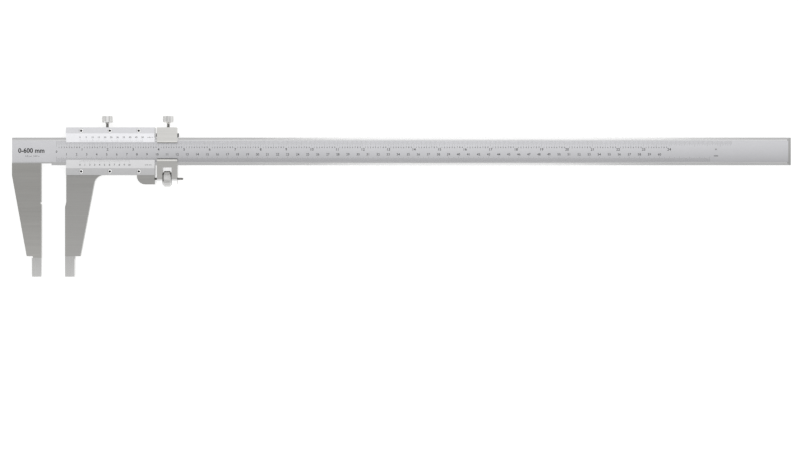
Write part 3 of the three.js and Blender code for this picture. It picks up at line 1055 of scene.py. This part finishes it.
def carriage_section():
    """A C round the beam, whose lips end in a bevel above and a step at the foot, where they are
    painted dark as shadow.
    """
    top, bottom, front = CARRIAGE_HIGH.y, CARRIAGE_LOW.y, CARRIAGE_HIGH.z
    foot = SLIDER_FRONT + LIP_STEP
    corner_y = bottom + CHEEK_ROUND
    return [
        (top, 0),
        (top, front),
        (UPPER_LIP + LIP_BEVEL, front),
        (UPPER_LIP, front - LIP_DROP),
        (UPPER_LIP, foot),
        (UPPER_LIP - UPPER_STEP, foot),
        (UPPER_LIP - UPPER_STEP, SLIDER_FRONT),
        (GIB_ROOM, SLIDER_FRONT),
        (GIB_ROOM, BACK_WALL),
        (-BEAM_HALF - RUN, BACK_WALL),
        (-BEAM_HALF - RUN, SLIDER_FRONT),
        (LOWER_LIP + LOWER_STEP, SLIDER_FRONT),
        (LOWER_LIP + LOWER_STEP, foot),
        (LOWER_LIP, foot),
        (LOWER_LIP, front - LIP_DROP),
        (LOWER_LIP - LIP_BEVEL, front),
        *arc((corner_y, front - CHEEK_ROUND), CHEEK_ROUND, 90, 180, 20),
        *arc((corner_y, CHEEK_ROUND), CHEEK_ROUND, 180, 270, 20),
    ]


def make_carriage():
    left, right, top = CARRIAGE_LOW.x, CARRIAGE_HIGH.x, CARRIAGE_HIGH.y
    bottom, front = CARRIAGE_LOW.y, CARRIAGE_HIGH.z
    carriage = prism("x", carriage_section(), left, right)
    feed = node_axis("feed_screw")
    clamp = node_axis("carriage_clamp_screw")
    cut(
        carriage,
        block(FORK_X, (bottom - 1, FORK_TOP), (-1, front + 1)),
        hole("x", (feed.y, feed.z), CARRIAGE_BORE, left - 1, right + 1),
        hole("y", (clamp.z, clamp.x), CLAMP_RADIUS + THREAD_GAP, GIB_ROOM - 1, top + 1),
    )
    bevel(carriage, 0.25)
    shade(carriage)

    def finish(face):
        y, z = face.center.y, face.center.z
        # the rounded lower corners take the polished finish with the painted highlight
        if y < bottom + CHEEK_ROUND and abs(face.normal.x) < 0.5:
            return 1
        # the lips' faces over the beam take the painted shadow
        in_lip_shadow = LOWER_LIP - 0.1 < y < UPPER_LIP + 0.1 and z > BEAM_HIGH.z
        return 2 if in_lip_shadow else 0

    paint(carriage, (CARRIAGE_GROUND, CHEEK_HIGHLIGHT, LIP_SHADOW), finish)
    install(
        carriage, "carriage_block", "carriage", replaces=["fine_adjust_carriage"]
    )


make_beam()
make_fixed_jaw()
make_slider()
make_vernier_plate("upper", SLIDER_TOP, UPPER_FLAT, UPPER_READING, UPPER_SATIN_LIT)
make_vernier_plate("lower", SLIDER_BOTTOM, LOWER_FLAT, LOWER_READING, LOWER_SATIN_SHADED)
for index, (screw_node, screw_at) in enumerate(PLATE_SCREWS.items()):
    make_plate_screw(screw_node, screw_at, 20 + 31 * index)
make_slider_gib()
make_clamp_screw("slider_clamp_screw", "slider_clamp")
for set_screw in GIB_SCREWS:
    make_set_screw(set_screw, 1)
make_feed_screw()
make_set_screw("feed_screw_lock", -1)
make_carriage()
make_carriage_gib()
make_clamp_screw("carriage_clamp_screw", "carriage_clamp")
make_feed_nut()
beam_marks()
vernier_marks()

# ------------------------------------------------------------------ camera, light and floor


def make_camera():
    """Looks straight down on the graduated face from well above it."""
    distance, width = 3000.0, 795.02  # to the beam's face, and how much of its plane is in view
    data = bpy.data.cameras.new("camera")
    data.lens = data.sensor_width * distance / width
    data.clip_start = 0.01
    data.clip_end = 20
    camera = bpy.data.objects.new("camera", data)
    camera.location = DATUM + Vector((356.3, -80.2, BEAM_HIGH.z + distance)) * MM
    bpy.context.scene.collection.objects.link(camera)
    bpy.context.scene.camera = camera


def area_light(name, centre, size, power, aim):
    """A rectangular soft light. Its centre and aim are in millimetres from the datum."""
    data = bpy.data.lights.new(name, "AREA")
    data.shape = "RECTANGLE"
    data.size, data.size_y = size
    data.energy = power
    light = bpy.data.objects.new(name, data)
    light.location = DATUM + Vector(centre) * MM
    toward = DATUM + Vector(aim) * MM - light.location
    light.rotation_euler = toward.to_track_quat("-Z", "Y").to_euler()
    bpy.context.scene.collection.objects.link(light)


def grey_ramp(nodes, steps):
    """A colour ramp through greys, each given as (place, grey)."""
    ramp = nodes.new("ShaderNodeValToRGB")
    while len(ramp.color_ramp.elements) < len(steps):
        ramp.color_ramp.elements.new(0.5)
    for element, (place, grey) in zip(ramp.color_ramp.elements, steps):
        element.position = place
        element.color = (grey, grey, grey, 1.0)
    return ramp


def make_world():
    """A light tent: dimmer straight overhead, and darker low down at the object's two ends."""
    world = bpy.data.worlds.new("tent")
    bpy.context.scene.world = world
    world.use_nodes = True
    nodes, links = world.node_tree.nodes, world.node_tree.links
    background = nodes["Background"]
    direction = nodes.new("ShaderNodeTexCoord")
    split = nodes.new("ShaderNodeSeparateXYZ")
    links.new(direction.outputs["Generated"], split.inputs["Vector"])
    # from straight down to straight overhead
    upward = grey_ramp(nodes, ((0.0, 0.85), (0.5, 0.9), (0.74, 0.84), (0.93, 0.62), (1.0, 0.55)))
    links.new(split.outputs["Z"], upward.inputs["Fac"])
    sideways = nodes.new("ShaderNodeMapRange")
    sideways.inputs["From Min"].default_value = -1.0
    links.new(split.outputs["X"], sideways.inputs["Value"])
    # from -X to +X
    endways = grey_ramp(nodes, ((0.0, 0.45), (0.14, 0.65), (0.3, 1.0), (0.75, 1.0), (1.0, 0.6)))
    links.new(sideways.outputs["Result"], endways.inputs["Fac"])
    product = nodes.new("ShaderNodeVectorMath")
    product.operation = "MULTIPLY"
    links.new(upward.outputs["Color"], product.inputs[0])
    links.new(endways.outputs["Color"], product.inputs[1])
    links.new(product.outputs["Vector"], background.inputs["Color"])
    background.inputs["Strength"].default_value = 1.2


def make_floor():
    """A white table just under the object, which mostly glows by itself."""
    reach, height = 4.0, -0.0003  # in metres
    corners = [(x * reach, y * reach, height) for x, y in ((-1, -1), (1, -1), (1, 1), (-1, 1))]
    floor = new_object("floor", corners, [(0, 1, 2, 3)])
    material = bpy.data.materials.new("floor_white")
    material.use_nodes = True
    shader = material.node_tree.nodes["Principled BSDF"]
    shader.inputs["Base Color"].default_value = (0.42, 0.42, 0.42, 1.0)
    shader.inputs["Roughness"].default_value = 1.0
    shader.inputs["Specular IOR Level"].default_value = 0.0
    shader.inputs["Emission Color"].default_value = (1.0, 1.0, 1.0, 1.0)
    shader.inputs["Emission Strength"].default_value = 0.76
    floor.data.materials.append(material)


make_camera()
make_world()
make_floor()
area_light("strip_upper", (480, 409, 1000), (0.5, 0.3), 0.46, (480, 13, 9))
area_light("strip_lower", (440, -344, 1000), (0.36, 0.3), 0.28, (440, -13, 9))
bpy.context.scene.view_settings.view_transform = "Standard"
